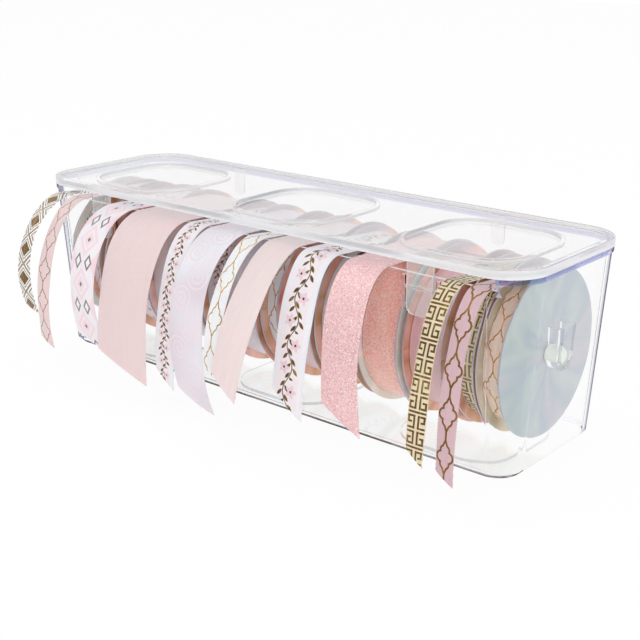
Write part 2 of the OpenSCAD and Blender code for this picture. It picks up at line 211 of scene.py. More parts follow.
def lay_floor():
    bpy.ops.object.select_all(action="DESELECT")
    bpy.ops.mesh.primitive_plane_add(size=FLOOR_SIZE, location=(0, 0, -FLOOR_DROP))
    floor = bpy.context.object
    floor.name = "pale_floor"
    material = bpy.data.materials.new("pale_floor")
    material.use_nodes = True
    tree = material.node_tree
    shader = tree.nodes["Principled BSDF"]
    shader.inputs["Base Color"].default_value = (0.86, 0.86, 0.86, 1)
    shader.inputs["Roughness"].default_value = 0.9
    shader.inputs["Specular IOR Level"].default_value = 0.1
    glow = tree.nodes.new("ShaderNodeEmission")
    glow.inputs["Strength"].default_value = FLOOR_STRENGTH
    colour = dark_in_front(tree, "Object", (0, -1, 0), 0.14, 0.26, (0.12, 0.12, 0.16, 1))
    tree.links.new(colour, glow.inputs["Color"])
    share = tree.nodes.new("ShaderNodeMath")
    share.operation = "MULTIPLY_ADD"
    share.inputs[1].default_value = FLOOR_SEEN - FLOOR_GLOW
    share.inputs[2].default_value = FLOOR_GLOW
    tree.links.new(seen_directly(tree), share.inputs[0])
    mix = tree.nodes.new("ShaderNodeMixShader")
    tree.links.new(share.outputs[0], mix.inputs[0])
    tree.links.new(shader.outputs[0], mix.inputs[1])
    tree.links.new(glow.outputs[0], mix.inputs[2])
    tree.links.new(mix.outputs[0], tree.nodes["Material Output"].inputs["Surface"])
    floor.data.materials.append(material)


def set_world():
    world = bpy.data.worlds.new("white_studio")
    bpy.context.scene.world = world
    world.use_nodes = True
    tree = world.node_tree
    soft = tree.nodes["Background"]
    soft.inputs["Color"].default_value = (0.97, 0.98, 1, 1)
    soft.inputs["Strength"].default_value = WORLD_STRENGTH
    white = tree.nodes.new("ShaderNodeBackground")
    white.inputs["Strength"].default_value = 1
    low_front = (0.64, -0.77, -0.9)
    colour = dark_in_front(tree, "Generated", low_front, 0.25, 0.65, (0.12, 0.13, 0.22, 1))
    tree.links.new(colour, white.inputs["Color"])
    mix = tree.nodes.new("ShaderNodeMixShader")
    tree.links.new(seen_directly(tree), mix.inputs[0])
    tree.links.new(soft.outputs[0], mix.inputs[1])
    tree.links.new(white.outputs[0], mix.inputs[2])
    tree.links.new(mix.outputs[0], tree.nodes["World Output"].inputs["Surface"])


def hang_lamp(name, place, size, watts):
    bpy.ops.object.light_add(type="AREA", location=place)
    lamp = bpy.context.object
    lamp.name = name
    lamp.data.shape = "SQUARE"
    lamp.data.size = size
    lamp.data.energy = watts
    towards = Vector(LAMPS_AIM) - lamp.location
    lamp.rotation_euler = towards.to_track_quat("-Z", "Y").to_euler()


def light_studio():
    set_world()
    hang_lamp("left_softbox", (-0.95, -0.45, 1.15), 0.9, 3)
    hang_lamp("right_softbox", (1.5, -0.4, 0.9), 0.8, 2)
    hang_lamp("top_softbox", (0, 0.2, 1.6), 1.2, 2)
    hang_lamp("low_fill", (1.1, -1.25, 0.35), 0.9, 9)


# Material nodes


def paint(red, green, blue):
    """A colour as it shows, in steps of 255, turned into the renderer's linear numbers."""
    shown = [value / 255 for value in (red, green, blue)]
    return [c / 12.92 if c <= 0.04045 else ((c + 0.055) / 1.055) ** 2.4 for c in shown] + [1]


class Number:
    """One value in a material's nodes. Plain arithmetic on it adds Math nodes."""

    def __init__(self, tree, socket):
        self.tree = tree
        self.socket = socket

    def math(self, operation, *others, clamp=False):
        node = self.tree.nodes.new("ShaderNodeMath")
        node.operation = operation
        node.use_clamp = clamp
        for place, value in enumerate((self,) + others):
            if isinstance(value, Number):
                self.tree.links.new(value.socket, node.inputs[place])
            else:
                node.inputs[place].default_value = value
        return Number(self.tree, node.outputs[0])

    def __add__(self, other):
        return self.math("ADD", other)

    def __sub__(self, other):
        return self.math("SUBTRACT", other)

    def __mul__(self, other):
        return self.math("MULTIPLY", other)

    def __truediv__(self, other):
        return self.math("DIVIDE", other)

    def __abs__(self):
        return self.math("ABSOLUTE")

    def least(self, other):
        return self.math("MINIMUM", other)

    def most(self, other):
        return self.math("MAXIMUM", other)

    def repeated(self, period):
        """Runs from minus half the period to half of it, over and over."""
        return self.math("WRAP", period / 2, -period / 2)

    def below(self, edge, blur=0.12):
        """1 where the value is below the edge and 0 above it, with a soft step."""
        return (self * (-1 / blur)).math("ADD", edge / blur + 0.5, clamp=True)

    def near(self, middle, half, blur=0.12):
        """1 within half of the middle, on both sides."""
        return abs(self - middle).below(half, blur)

    def outside(self):
        return self.math("MULTIPLY_ADD", -1, 1)


def distance(a, b):
    return (a * a + b * b).math("SQRT")


def turned(a, b, degrees):
    """The two coordinates seen from axes that are turned by so many degrees."""
    c = math.cos(math.radians(degrees))
    s = math.sin(math.radians(degrees))
    return a * c + b * s, b * c - a * s


class Finish:
    """A material under way: its nodes, its shader and the coordinates that its pattern follows."""

    def __init__(self, name):
        self.material = bpy.data.materials.new(name)
        self.material.use_nodes = True
        self.tree = self.material.node_tree
        self.shader = self.tree.nodes["Principled BSDF"]

    def set(self, **values):
        for name, value in values.items():
            self.shader.inputs[name.replace("_", " ")].default_value = value

    def number(self, socket):
        return Number(self.tree, socket)

    def along_ribbon(self):
        """Millimetres across the ribbon from its middle, and along it."""
        node = self.tree.nodes.new("ShaderNodeUVMap")
        node.uv_map = "ribbon_mm"
        parts = self.tree.nodes.new("ShaderNodeSeparateXYZ")
        self.tree.links.new(node.outputs["UV"], parts.inputs[0])
        return self.number(parts.outputs["X"]), self.number(parts.outputs["Y"])

    def in_place(self):
        """Millimetres along the object's own axes."""
        node = self.tree.nodes.new("ShaderNodeTexCoord")
        parts = self.tree.nodes.new("ShaderNodeSeparateXYZ")
        self.tree.links.new(node.outputs["Object"], parts.inputs[0])
        return [self.number(parts.outputs[axis]) * 1000 for axis in "XYZ"]

    def placed(self, *numbers):
        """Puts separate numbers together as the coordinates of a texture."""
        node = self.tree.nodes.new("ShaderNodeCombineXYZ")
        for value, socket in zip(numbers, node.inputs):
            self.tree.links.new(value.socket, socket)
        return node.outputs[0]

    def noise(self, coordinates, scale, detail=2):
        node = self.tree.nodes.new("ShaderNodeTexNoise")
        node.inputs["Scale"].default_value = scale
        node.inputs["Detail"].default_value = detail
        self.tree.links.new(coordinates, node.inputs["Vector"])
        return self.number(node.outputs["Fac"])

    def layered(self, base, *layers):
        """A base colour with other colours over it, each where its mask is 1."""
        colour = base
        for mask, over in layers:
            node = self.tree.nodes.new("ShaderNodeMix")
            node.data_type = "RGBA"
            self.tree.links.new(mask.socket, node.inputs[0])
            for value, socket in ((colour, node.inputs[6]), (over, node.inputs[7])):
                if isinstance(value, (list, tuple)):
                    socket.default_value = value
                else:
                    self.tree.links.new(value, socket)
            colour = node.outputs[2]
        return colour

    def coloured(self, colour):
        self.tree.links.new(colour, self.shader.inputs["Base Color"])

    def driven(self, name, value):
        self.tree.links.new(value.socket, self.shader.inputs[name])

    def bumped(self, height, depth):
        node = self.tree.nodes.new("ShaderNodeBump")
        node.inputs["Strength"].default_value = 1
        node.inputs["Distance"].default_value = depth * MM
        self.tree.links.new(height.socket, node.inputs["Height"])
        self.tree.links.new(node.outputs["Normal"], self.shader.inputs["Normal"])


# Plastic, foil board and rod


def clear_plastic(name, shade, bending, roughness, milk, painted_edge_shade=None):
    """Clear plastic, as milky as asked, with a painted darker shade where it is seen along its surface."""
    finish = Finish(name)
    tree = finish.tree
    finish.set(Base_Color=shade, Roughness=roughness, IOR=bending, Transmission_Weight=1 - milk)
    finish.set(Thin_Film_Thickness=FILM_NANOMETRES, Thin_Film_IOR=FILM_BENDING)
    surface = finish.shader.outputs[0]
    if painted_edge_shade:
        # Painted shade: seen edge-on, the plastic darkens what lies behind it to the given colour
        facing = tree.nodes.new("ShaderNodeLayerWeight")
        facing.inputs["Blend"].default_value = 0.5
        turned_away = finish.number(facing.outputs["Facing"])
        edge_on = turned_away.below(EDGE_ON_FROM, EDGE_ON_BLUR).outside() * EDGE_ON_SHARE
        painted_shade_through = tree.nodes.new("ShaderNodeBsdfTransparent")
        painted_shade_through.inputs["Color"].default_value = painted_edge_shade
        painted_shade_mix = tree.nodes.new("ShaderNodeMixShader")
        tree.links.new(edge_on.socket, painted_shade_mix.inputs[0])
        tree.links.new(surface, painted_shade_mix.inputs[1])
        tree.links.new(painted_shade_through.outputs[0], painted_shade_mix.inputs[2])
        surface = painted_shade_mix.outputs[0]
    through = tree.nodes.new("ShaderNodeBsdfTransparent")
    through.inputs["Color"].default_value = SHADOW_SHADE
    path = tree.nodes.new("ShaderNodeLightPath")
    lets_light = finish.number(path.outputs["Is Shadow Ray"]).most(
        finish.number(path.outputs["Is Diffuse Ray"])
    )
    mix = tree.nodes.new("ShaderNodeMixShader")
    tree.links.new(lets_light.socket, mix.inputs[0])
    tree.links.new(surface, mix.inputs[1])
    tree.links.new(through.outputs[0], mix.inputs[2])
    tree.links.new(mix.outputs[0], tree.nodes["Material Output"].inputs["Surface"])
    return finish.material


def foil_board(name, shades, painted_top_shade, metal, inner_x=-1000):
    """Card covered with pearly foil whose tones run out from the middle in soft streaks.

    Its upper edge takes a darker grey painted shade, and the side that lies to the left of inner_x has a
    shade of its own."""
    finish = Finish(name)
    x, y, z = finish.in_place()
    height = z - ROD_Z
    turn = height.math("ARCTAN2", y)
    out = distance(y, height)
    streak = finish.noise(finish.placed(turn * 0.9, out * 0.012, x * 0.03), 1.3, 2)
    ramp = finish.tree.nodes.new("ShaderNodeValToRGB")
    finish.tree.links.new(streak.socket, ramp.inputs["Fac"])
    stops = ramp.color_ramp.elements
    first_stop = 0.28
    spread = 0.44
    stops[0].position = first_stop
    stops[0].color = paint(*shades[0])
    stops[1].position = first_stop + spread
    stops[1].color = paint(*shades[-1])
    for k, shade in enumerate(shades[1:-1], 1):
        stop = stops.new(first_stop + spread * k / (len(shades) - 1))
        stop.color = paint(*shade)
    facing = finish.tree.nodes.new("ShaderNodeSeparateXYZ")
    place = finish.tree.nodes.new("ShaderNodeTexCoord")
    finish.tree.links.new(place.outputs["Normal"], facing.inputs[0])
    rim = abs(finish.number(facing.outputs["X"])).below(0.5, 0.1)
    # Painted shade: the flanges turn darker grey towards their tops
    upper = height.below(PAINTED_TOP_SHADE_FROM, PAINTED_TOP_SHADE_BLUR).outside()
    warm = finish.layered(paint(176, 160, 132), (streak.below(0.5, 0.2), paint(232, 220, 196)))
    colour = finish.layered(
        ramp.outputs["Color"],
        (x.below(inner_x, 0.5), warm),
        (upper, paint(*painted_top_shade)),
        (rim, paint(184, 178, 188)),
    )
    finish.coloured(colour)
    grain = finish.noise(finish.placed(x, y, z), 0.35, 4)
    finish.driven("Roughness", grain * 0.16 + 0.26)
    finish.set(Metallic=metal, Coat_Weight=0.2, Coat_Roughness=0.12)
    finish.bumped(grain, 0.04)
    return finish.material


def grey_board():
    finish = Finish("grey_board")
    x, y, z = finish.in_place()
    fibre = finish.noise(finish.placed(x * 0.2, y, z), 0.8, 5)
    finish.coloured(finish.layered(paint(168, 160, 152), (fibre, paint(198, 190, 180))))
    finish.set(Roughness=0.8)
    finish.bumped(fibre, 0.05)
    return finish.material


def rod_plastic():
    finish = Finish("milky_rod_plastic")
    x, y, z = finish.in_place()
    cloud = finish.noise(finish.placed(x * 0.1, y, z), 0.5, 2)
    finish.coloured(finish.layered(paint(222, 230, 216), (cloud, paint(236, 240, 230))))
    finish.set(Roughness=0.32, Subsurface_Weight=0.25, Subsurface_Scale=0.003)
    return finish.material


# Ribbon cloth


def woven(finish, u, v, half, gold=None, satin=0.36, ribs=0.55, depth=0.05):
    """Weave, edge threads and gloss that every ribbon has, with foil print where gold is 1."""
    warp = (u * (2 * math.pi / WARP_PITCH)).math("SINE")
    weft = (v * (2 * math.pi / ribs)).math("SINE")
    edge = abs(u).below(half - 0.7, 0.2).outside()
    height = warp * 0.35 + weft * 0.65 + edge * 1.5
    finish.bumped(height, depth)
    cloth_gloss = weft * 0.04 + satin
    if gold is None:
        finish.driven("Roughness", cloth_gloss)
    else:
        finish.driven("Roughness", gold * (0.24 - satin) + cloth_gloss)
        finish.driven("Metallic", gold * 0.9)
    finish.set(Sheen_Weight=0.12, Sheen_Roughness=0.35)
    finish.set(Subsurface_Weight=0.4, Subsurface_Radius=(1, 0.4, 0.35), Subsurface_Scale=0.001)


def cloth_shades(finish, u, v, light, dark):
    """A dyed ground with the slight unevenness of woven cloth."""
    thread = finish.noise(finish.placed(u * 0.5, v * 0.05, u), 1.1, 3)
    return finish.layered(light, (thread.below(0.5, 0.7), dark))


def plain_ribbon(name, half, light, dark, satin=0.34, ribs=0.55):
    finish = Finish(name)
    u, v = finish.along_ribbon()
    finish.coloured(cloth_shades(finish, u, v, light, dark))
    woven(finish, u, v, half, satin=satin, ribs=ribs)
    return finish.material


def diamond_ribbon(name, half):
    """Solid foil diamonds in a lattice of thin foil lines on white."""
    finish = Finish(name)
    u, v = finish.along_ribbon()
    level = abs(u) / half + abs(v.repeated(17)) / 5.6
    solid = level.below(0.8, 0.06)
    lines = level.near(1.06, 0.06, 0.05).most(level.near(1.47, 0.06, 0.05))
    lines = lines.most(level.near(1.62, 0.06, 0.05)).most(level.near(2.05, 0.08, 0.05))
    gold = solid.most(lines)
    ground = cloth_shades(finish, u, v, paint(250, 247, 243), paint(238, 233, 228))
    # Painted highlight: the foil print turns lighter in broad patches along the ribbon
    painted_highlight = finish.noise(finish.placed(u * 0.1, v * 0.05, u), 1, 2)
    foil = finish.layered(paint(112, 84, 50), (painted_highlight.below(0.5, 0.3), paint(154, 122, 76)))
    finish.coloured(finish.layered(ground, (gold, foil)))
    woven(finish, u, v, half, gold)
    return finish.material


def trellis_ribbon(name, half, light, dark, foil, period, line):
    """A chain of four-lobed outlines in foil down the middle, each drawn out to a point at both ends."""
    finish = Finish(name)
    u, v = finish.along_ribbon()
    across = abs(u) * (5 / half)
    up = abs(v.repeated(period)) * (20 / period)
    sides = distance(across - 1.7, up) - 2.6
    ends = distance(across, up - 3.2) - 2.4
    points = (across + (up - 8) * 0.42) * 0.92
    outline = abs(sides.least(ends).least(points)).below(line)
    link = across.below(line) * up.below(7.6, 0.3).outside()
    gold = outline.most(link)
    ground = cloth_shades(finish, u, v, light, dark)
    # Painted highlight: a brighter copy of the foil colour in broad patches along the ribbon
    painted_highlight = finish.noise(finish.placed(u * 0.1, v * 0.06, u), 1, 2)
    painted_bright_foil = [min(1, c * 1.7) for c in foil[:3]] + [1]
    painted_lit_foil = finish.layered(foil, (painted_highlight.below(0.46, 0.2), painted_bright_foil))
    finish.coloured(finish.layered(ground, (gold, painted_lit_foil)))
    woven(finish, u, v, half, gold)
    return finish.material


def ikat_ribbon(name, half):
    """Pink stepped eyes down the middle, and pairs of outlined diamonds between them, on white."""
    finish = Finish(name)
    u, v = finish.along_ribbon()
    pair = v.repeated(25)
    eye = (v + 12.5).repeated(25)
    eye_level = abs(u) / 7.2 + abs(eye) / 9.5
    side_level = (abs(u) - half).math("ABSOLUTE") / 5.4 + abs(pair) / 9
    pink = eye_level.below(1, 0.18).most(side_level.below(0.9, 0.18))
    pale = eye_level.near(0.6, 0.09, 0.08)
    dot = eye_level.below(0.16, 0.05)
    diamond = (abs(u) - 3.9).math("ABSOLUTE") / 2.9 + abs(pair) / 5
    frame_line = diamond.near(0.76, 0.2, 0.06)
    filling = diamond.below(0.7, 0.08)
    ground = cloth_shades(finish, u, v, paint(250, 240, 242), paint(242, 230, 234))
    colour = finish.layered(
        ground,
        (pink, paint(247, 219, 225)),
        (pale, paint(250, 236, 239)),
        (filling, paint(248, 240, 242)),
        (frame_line, paint(132, 118, 120)),
        (dot, paint(128, 112, 112)),
    )
    finish.coloured(colour)
    woven(finish, u, v, half, satin=0.4)
    return finish.material


def spiral(a, b, pitch, size, hand):
    """A scroll that winds out from where a and b are 0."""
    out = distance(a, b)
    turn = b.math("ARCTAN2", a) * (hand / (2 * math.pi))
    phase = (out / pitch + turn).repeated(1)
    return abs(phase).below(0.17, 0.08) * out.below(size, 0.3)


def scroll_ribbon(name, half, light, dark, scroll, period, size):
    """Scrolls that wind to the left and to the right in turn."""
    finish = Finish(name)
    u, v = finish.along_ribbon()
    first = spiral(u + half * 0.36, v.repeated(period), size / 2.6, size, 1)
    second = spiral(u - half * 0.36, (v + period / 2).repeated(period), size / 2.6, size, -1)
    ground = cloth_shades(finish, u, v, light, dark)
    # Painted shade: broad darker lilac bands along the satin, where curved satin falls into shade
    painted_satin_shade = finish.noise(finish.placed(u * 0.01, v * 0.022, u * 0.01), 1, 1).below(0.52, 0.22)
    shaded = finish.layered(ground, (painted_satin_shade * 0.8, paint(219, 207, 214)))
    finish.coloured(finish.layered(shaded, (first.most(second), scroll)))
    woven(finish, u, v, half, satin=0.26, ribs=0.4)
    return finish.material


def leaf(a, b, place, degrees, long, wide):
    """A pointed leaf with its middle at a place."""
    along, beside = turned(a - place[0], b - place[1], degrees)
    share = along / long
    return (abs(beside) / wide + share * share).below(1, 0.25)


def blossom(a, b, place, size):
    """A round flower with five petals."""
    x = a - place[0]
    y = b - place[1]
    petals = (y.math("ARCTAN2", x) * 5).math("COSINE") * (0.22 * size) + 0.78 * size
    return (distance(x, y) - petals).below(0, 0.25)


def sprig_ribbon(name, half, period):
    """A running vine on pale pink between white borders: a waved stem, leaves in turn and round flowers."""
    finish = Finish(name)
    u, v = finish.along_ribbon()
    t = v.repeated(period)
    wide = half * 0.66
    middle = abs(u).below(wide, 0.3)
    sway = 0.36 * wide
    stem = u - (t * (2 * math.pi / period)).math("SINE") * sway
    leaves = abs(stem).below(0.045 * wide, 0.14)
    for k in range(10):
        side = 1 if k % 2 else -1
        at = (k - 4.5) * period / 10
        place = (math.sin(2 * math.pi * at / period) * sway + side * 0.3 * wide, at + 0.2 * wide)
        leaves = leaves.most(leaf(u, t, place, 90 - side * 42, 0.34 * wide, 0.13 * wide))
    flowers = None
    buds = None
    for side, at in ((-1, 0.25), (1, -0.25)):
        place = (side * 0.42 * wide, at * period)
        petals = blossom(u, t, place, 0.52 * wide)
        bud = distance(u - place[0], t - place[1]).below(0.1 * wide, 0.2)
        flowers = flowers.most(petals) if flowers else petals
        buds = buds.most(bud) if buds else bud
    gold = (leaves * flowers.outside() * middle).most(buds)
    border = cloth_shades(finish, u, v, paint(244, 240, 243), paint(232, 227, 232))
    # Painted highlight: the foil leaves turn lighter gold in broad patches along the ribbon
    painted_highlight = finish.noise(finish.placed(u * 0.1, v * 0.06, u), 1, 2)
    foil = finish.layered(paint(96, 72, 36), (painted_highlight.below(0.42, 0.2), paint(176, 142, 78)))
    colour = finish.layered(
        border,
        (middle, paint(242, 229, 232)),
        (flowers * middle, paint(233, 205, 213)),
        (gold, foil),
    )
    finish.coloured(colour)
    woven(finish, u, v, half, gold)
    return finish.material


def glitter_ribbon(name, dark, light):
    """A coat of glitter: small raised flakes, each with its own gloss and painted gleam, and painted white
    sparkles on some.
    """
    finish = Finish(name)
    u, v = finish.along_ribbon()
    tree = finish.tree
    cells = tree.nodes.new("ShaderNodeTexVoronoi")
    cells.inputs["Scale"].default_value = 2.2
    tree.links.new(finish.placed(u, v), cells.inputs["Vector"])
    parts = tree.nodes.new("ShaderNodeSeparateColor")
    tree.links.new(cells.outputs["Color"], parts.inputs[0])
    flake = finish.number(parts.outputs["Red"])
    # Painted gleam: a random share of the lighter colour on each flake; it also sets the flake's roughness
    painted_gleam_and_roughness = finish.number(parts.outputs["Green"])
    # Painted sparkle: some flakes are painted near white
    painted_sparkle = flake.below(0.86, 0.1).outside()
    finish.coloured(finish.layered(dark, (painted_gleam_and_roughness, light), (painted_sparkle, paint(255, 236, 226))))
    finish.driven("Roughness", painted_gleam_and_roughness * 0.3 + 0.25)
    finish.set(Metallic=0.12)
    finish.bumped(flake, 0.17)
    return finish.material


def key_ribbon(name, half):
    """Squared hooks in foil on cream, mirrored to all four sides, with a bar between each four of them."""
    finish = Finish(name)
    u, v = finish.along_ribbon()
    across = abs(u) * (5 / half)
    up = abs(v.repeated(16.5))
    line = 0.5

    def bar(start, end, height):
        return across.near((start + end) / 2, (end - start) / 2 + line) * up.near(height, line)

    def post(place, start, end):
        return across.near(place, line) * up.near((start + end) / 2, (end - start) / 2 + line)

    gold = bar(0, 4.1, 8.25)
    hook = (
        post(1.1, 0.95, 6.4),
        bar(1.1, 4.1, 6.4),
        post(4, 3.7, 6.4),
        bar(2.7, 4, 3.7),
        bar(1.1, 4.1, 0.95),
    )
    for piece in hook:
        gold = gold.most(piece)
    ground = cloth_shades(finish, u, v, paint(231, 218, 188), paint(217, 201, 166))
    # Painted highlight: the foil hooks turn lighter in broad patches along the ribbon
    painted_highlight = finish.noise(finish.placed(u * 0.1, v * 0.05, u), 1, 2)
    foil = finish.layered(paint(104, 82, 50), (painted_highlight.below(0.4, 0.2), paint(176, 148, 96)))
    finish.coloured(finish.layered(ground, (gold, foil)))
    woven(finish, u, v, half, gold)
    return finish.material


def ribbon_cloths():
    """The cloth of each roll and, where it differs, of its hanging end."""
    rose = (paint(236, 214, 212), paint(229, 203, 203), paint(150, 116, 84))
    ivory = (paint(248, 245, 248), paint(236, 232, 230), paint(178, 146, 78))
    peach = (paint(252, 222, 208), paint(246, 208, 194), paint(190, 136, 66))
    dull_pink = (paint(211, 183, 187), paint(199, 171, 177), paint(126, 93, 48))
    scroll_white = (paint(250, 244, 248), paint(238, 232, 240), paint(243, 222, 229))
    copper = (paint(150, 100, 80), paint(122, 76, 60))
    pale_pink = (paint(234, 213, 212), paint(229, 204, 204))
    satin_rose = (paint(245, 208, 210), paint(238, 194, 198))
    dusty_rose = (paint(240, 196, 198), paint(230, 180, 184))
    satin_pink = (paint(238, 222, 220), paint(231, 210, 209))
    rolls = {
        1: diamond_ribbon("brown_diamond_cloth", 5),
        2: trellis_ribbon("rose_trellis_cloth", 5, *rose, 18, 0.26),
        3: plain_ribbon("copper_cloth", 6.5, *copper, satin=0.3),
        4: ikat_ribbon("ikat_cloth", 10),
        5: plain_ribbon("pale_pink_cloth", 19, *pale_pink, satin=0.42, ribs=0.9),
        6: sprig_ribbon("narrow_sprig_cloth", 6.5, 15),
        7: scroll_ribbon("white_scroll_cloth", 11.5, *scroll_white, 26, 7.5),
        8: trellis_ribbon("ivory_trellis_cloth", 5, *ivory, 22, 0.3),
        9: plain_ribbon("rose_satin_cloth", 10, *satin_rose, satin=0.3),
        10: sprig_ribbon("wide_sprig_cloth", 10, 23),
        11: glitter_ribbon("coral_glitter_cloth", paint(255, 158, 138), paint(255, 214, 200)),
        12: plain_ribbon("dusty_rose_cloth", 10, *dusty_rose, satin=0.34),
        13: key_ribbon("gold_key_cloth", 5),
        14: trellis_ribbon("peach_trellis_cloth", 5, *peach, 20, 0.3),
    }
    tails = dict(rolls)
    tails[9] = plain_ribbon("pink_satin_cloth", 10, *satin_pink, satin=0.3)
    tails[11] = glitter_ribbon("pink_glitter_cloth", paint(226, 166, 170), paint(246, 210, 212))
    tails[14] = trellis_ribbon("pink_trellis_cloth", 5, *dull_pink, 20, 0.48)
    return rolls, tails


# Rigid pieces


def smooth_copy(node_name, name, edge, materials, parted):
    """A copy of a moulded solid with its facets merged and its edges rounded, in the last of its materials.

    Its faces are parted at the height that is given."""
    bpy.ops.object.select_all(action="DESELECT")
    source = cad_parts[node_name]
    piece = source.copy()
    piece.data = source.data.copy()
    piece.name = name
    piece.data.name = name
    for key in list(piece.keys()):
        del piece[key]
    piece.parent = None
    piece.data.materials.clear()
    for material in materials:
        piece.data.materials.append(material)
    bpy.context.scene.collection.objects.link(piece)
    bpy.context.view_layer.objects.active = piece
    piece.select_set(True)
    bpy.ops.object.mode_set(mode="EDIT")
    bpy.ops.mesh.select_all(action="SELECT")
    bpy.ops.mesh.customdata_custom_splitnormals_clear()
    bpy.ops.mesh.remove_doubles(threshold=0.00001)
    bpy.ops.mesh.dissolve_limited(angle_limit=math.radians(FLAT_WITHIN))
    bpy.ops.mesh.select_all(action="SELECT")
    bpy.ops.mesh.bisect(plane_co=(0, 0, parted * MM), plane_no=(0, 0, 1))
    bpy.ops.object.mode_set(mode="OBJECT")
    bevel = piece.modifiers.new("rounded_edges", "BEVEL")
    bevel.width = edge * MM
    bevel.segments = 2
    bevel.limit_method = "ANGLE"
    bevel.angle_limit = math.radians(ROUNDED_ABOVE)
    bevel.use_clamp_overlap = True
    bevel.harden_normals = False
    bevel.material = len(materials) - 1
    bpy.ops.object.modifier_apply(modifier="rounded_edges")
    bpy.ops.object.shade_smooth_by_angle(angle=math.radians(SMOOTH_WITHIN))
    even = piece.modifiers.new("even_flats", "WEIGHTED_NORMAL")
    even.mode = "FACE_AREA"
    even.weight = 100
    even.keep_sharp = True
    bpy.ops.object.modifier_apply(modifier="even_flats")
    return piece


def attached(piece, body, slot, *nodes):
    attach(piece, body)
    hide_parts(*nodes)


def mould_box():
    finishes = [
        clear_plastic("clear_box_plastic", CLEAR_SHADE, BOX_BENDING, 0.01, 0),
        clear_plastic("clear_wall_plastic", CLEAR_SHADE, BOX_BENDING, 0.01, 0, EDGE_ON_PAINTED_SHADE),
        clear_plastic("matt_plinth_plastic", (1, 1, 1, 1), BOX_BENDING, 0.4, 0.7),
        # Painted shade: the slot's ends are grey
        clear_plastic("painted_shade_slot_plastic", (0.55, 0.55, 0.64, 1), BOX_BENDING, 0.4, 0.7),
        # Painted shade: the rim band is coloured dark violet
        clear_plastic("painted_shade_rim_plastic", (0.42, 0.45, 0.72, 1), BOX_BENDING, 0.02, 0.05, CORNER_PAINTED_SHADE),
        clear_plastic("clear_corner_plastic", CLEAR_SHADE, BOX_BENDING, 0.01, 0, CORNER_PAINTED_SHADE),
        # Painted shade: near-black, taken by every rounded edge
        clear_plastic("painted_dark_edge_plastic", (0.04, 0.05, 0.15, 1), BOX_BENDING, 0.01, 0),
    ]
    # The rounded edges take the last finish, the painted dark edge
    piece = smooth_copy("box_body", "clear_box", BOX_EDGE, finishes, RIM_Z)
    for face in piece.data.polygons:
        face.material_index = box_finish(face)
    attached(piece, "box", "clear_box", "box_body")


def box_finish(face):
    """Which of the box's finishes a face takes, by its place and the way that it faces."""
    x, y, z = [abs(c) / MM for c in face.center]
    up = face.normal.z
    kept = face.material_index
    plinth_side = z < PLINTH_H and abs(up) < 0.95
    by_slot = face.center.y < SLOT_Y * MM and z > SLOT_LOW_Z and x < SLOT_X + SLOT_END
    slot_end = by_slot and abs(x - SLOT_X) < SLOT_END
    faces_up = up > 0.3
    in_cradle = CRADLE_X[0] < x < CRADLE_X[1] and y < CRADLE_Y and CRADLE_Z[0] < z < CRADLE_Z[1]
    if plinth_side or by_slot and faces_up:
        return MATT
    # The slot's ends and rounded edges there take the painted grey shade
    if slot_end or by_slot and kept == EDGE:
        return GREY
    if in_cradle:
        return MATT if faces_up and z > CRADLE_TOP_Z else CLEAR
    # Side faces on the rim take its painted violet shade, and those facing down there the painted dark edge
    if z > RIM_Z and up < 0.5:
        return RIM if up > -0.5 else EDGE
    # Walls and corners darken with painted shade where seen edge-on
    if kept == CLEAR and -0.9 < up < 0.5:
        return CORNER if x > CORNER_X else WALL
    return kept


def mould_lid():
    finishes = [
        clear_plastic("clear_lid_plastic", (0.972, 0.978, 0.97, 1), LID_BENDING, 0.03, 0.15),
        clear_plastic("frosted_side_plastic", (0.86, 0.865, 0.875, 1), LID_BENDING, 0.2, 0.5),
        clear_plastic("pale_edge_plastic", (0.96, 0.965, 0.96, 1), LID_BENDING, 0.15, 0.45),
    ]
    piece = smooth_copy("lid", "clear_lid", LID_EDGE, finishes, LID_Z)
    for face in piece.data.polygons:
        if face.center.z > LID_Z * MM and abs(face.normal.z) < 0.5:
            face.material_index = LID_SIDE
    attached(piece, "lid", "clear_lid", "lid")


def dress_nodes(material, *names):
    for name in names:
        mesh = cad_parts[name].data
        mesh.materials.clear()
        mesh.materials.append(material)


def dress_spools():
    silver = [(164, 179, 185), (188, 197, 195), (169, 183, 190), (193, 191, 197), (166, 186, 188)]
    cream = [(230, 226, 208), (240, 238, 230), (214, 222, 214), (242, 232, 224), (222, 222, 232)]
    copper = [(222, 138, 114), (242, 182, 160), (210, 150, 98), (244, 194, 178), (204, 114, 96)]
    # The third value of each foil is the painted shade of its top edge
    pearl = foil_board("pearly_foil", silver, (150, 164, 172), 0.2, inner_x=145)
    ivory = foil_board("ivory_foil", cream, (190, 188, 196), 0.1)
    rose = foil_board("rose_foil", copper, (152, 142, 162), 0.45)
    foils = {1: ivory, 11: ivory, 14: pearl}
    board = grey_board()
    for number in SPOOLS:
        dress_nodes(foils.get(number, rose), f"spool_{number:02d}_flanges")
        dress_nodes(board, f"spool_{number:02d}_core")
    dress_nodes(rod_plastic(), "spindle_rod", "rod_collars")


# Ribbons


def spool_sizes(number):
    """The ribbon's left and right edge, and its roll's radius, in millimetres."""
    low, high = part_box(f"ribbon_{number:02d}_roll")
    flange_low, flange_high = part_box(f"spool_{number:02d}_flanges")
    flange_r = (flange_high.z - flange_low.z) / 2 / MM
    return low.x / MM, high.x / MM, flange_r - ROLL_DROP[number - 1]


def leave_angle(roll_r):
    """The angle round the rod, from +Y upwards, at which a ribbon leaves its roll for the lip."""
    across = OVER_LIP[0]
    up = OVER_LIP[1] - ROD_Z
    return math.atan2(up, across) - math.acos((roll_r + LEAD_GAP) / math.hypot(across, up))


